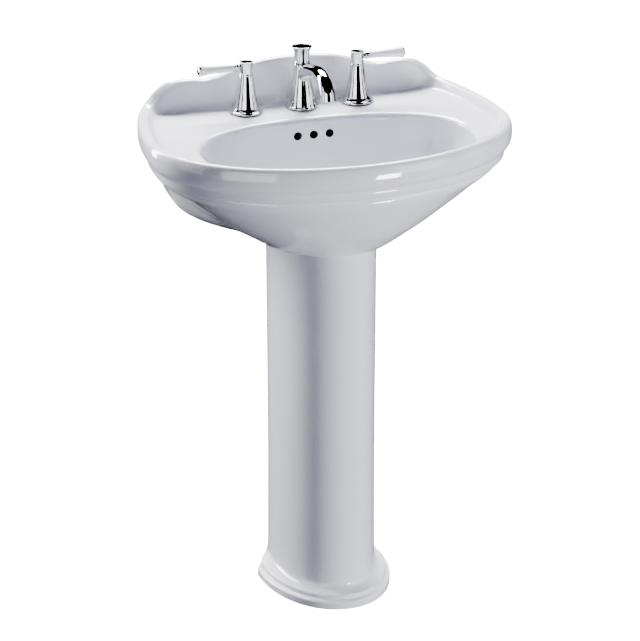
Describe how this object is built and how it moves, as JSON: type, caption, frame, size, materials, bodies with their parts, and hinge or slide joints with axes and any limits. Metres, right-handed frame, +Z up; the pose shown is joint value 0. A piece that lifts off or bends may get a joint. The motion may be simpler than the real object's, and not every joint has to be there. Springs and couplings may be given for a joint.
{
  "type": "pedestal sink",
  "caption": "White vitreous china pedestal sink with a bow-front basin, shaped backsplash, lever-handle chrome faucet and pop-up waste.",
  "frame": {"origin": "on the floor, under the centre of the overall width and depth", "axes": "+Z up; +X to the right of a person facing the sink; -Y towards that person; the flat back is at +Y"},
  "size_m": [0.644, 0.444, 0.9598],
  "materials": {
    "china": "glossy white vitreous glaze",
    "chrome": "polished chrome plate",
    "brass": "machined brass",
    "copper": "drawn copper tube",
    "steel": "zinc plated",
    "rubber": "matt black",
    "nylon": "moulded nylon"
  },
  "bodies": {
    "sink": {"basin": "china", "pedestal": "china", "hot_escutcheon": "chrome", "cold_escutcheon": "chrome", "spout_body": "chrome", "aerator": "chrome", "drain_flange": "chrome", "drain_body": "chrome", "tailpiece": "chrome", "pivot_nut": "chrome", "hot_valve": "brass", "hot_locknut": "brass", "cold_valve": "brass", "cold_locknut": "brass", "spout_shank": "brass", "spout_tee": "brass", "spout_locknut": "brass", "drain_locknut": "brass", "hot_crossover_tube": "copper", "cold_crossover_tube": "copper", "hot_washer": "steel", "cold_washer": "steel", "spout_washer": "steel", "drain_washer": "steel", "left_wall_bolt": "steel", "left_wall_washer": "steel", "left_wall_nut": "steel", "right_wall_bolt": "steel", "right_wall_washer": "steel", "right_wall_nut": "steel", "left_floor_screw": "steel", "right_floor_screw": "steel", "hot_gasket": "rubber", "cold_gasket": "rubber", "spout_gasket": "rubber", "drain_gasket": "rubber", "left_floor_washer": "nylon", "right_floor_washer": "nylon"},
    "hot_handle": {"hot_stem": "brass", "hot_hub": "chrome", "hot_lever_collar": "chrome", "hot_lever": "china", "hot_lever_cap": "chrome"},
    "cold_handle": {"cold_stem": "brass", "cold_hub": "chrome", "cold_lever_collar": "chrome", "cold_lever": "china", "cold_lever_cap": "chrome"},
    "lift": {"lift_knob": "chrome", "lift_rod": "chrome", "lift_strap": "steel", "strap_screw": "brass", "spring_clip": "steel"},
    "pivot": {"pivot_rod": "chrome"},
    "stopper": {"stopper": "chrome", "stopper_seal": "rubber"}
  },
  "joints": [
    {"name": "hot_handle_turn", "type": "hinge", "parent": "sink", "child": "hot_handle", "pos_m": [-0.1016, 0.16, 0.93], "axis": [0, 0, 1], "range_deg": [0, 90]},
    {"name": "cold_handle_turn", "type": "hinge", "parent": "sink", "child": "cold_handle", "pos_m": [0.1016, 0.16, 0.93], "axis": [0, 0, 1], "range_deg": [-90, 0]},
    {"name": "lift_rod_slide", "type": "slide", "parent": "sink", "child": "lift", "axis": [0, 0, 1], "range_m": [0, 0.035]},
    {"name": "pivot_rod_swing", "type": "hinge", "parent": "sink", "child": "pivot", "pos_m": [0, 0.015, 0.64], "axis": [1, 0, 0], "range_deg": [0, 13.8]},
    {"name": "stopper_slide", "type": "slide", "parent": "sink", "child": "stopper", "axis": [0, 0, -1], "range_m": [0, 0.005]}
  ],
  "couplings": [
    {"joint": "pivot_rod_swing", "follows": "lift_rod_slide", "rad_per_m": 6.857},
    {"joint": "stopper_slide", "follows": "lift_rod_slide", "ratio": 0.137}
  ]
}
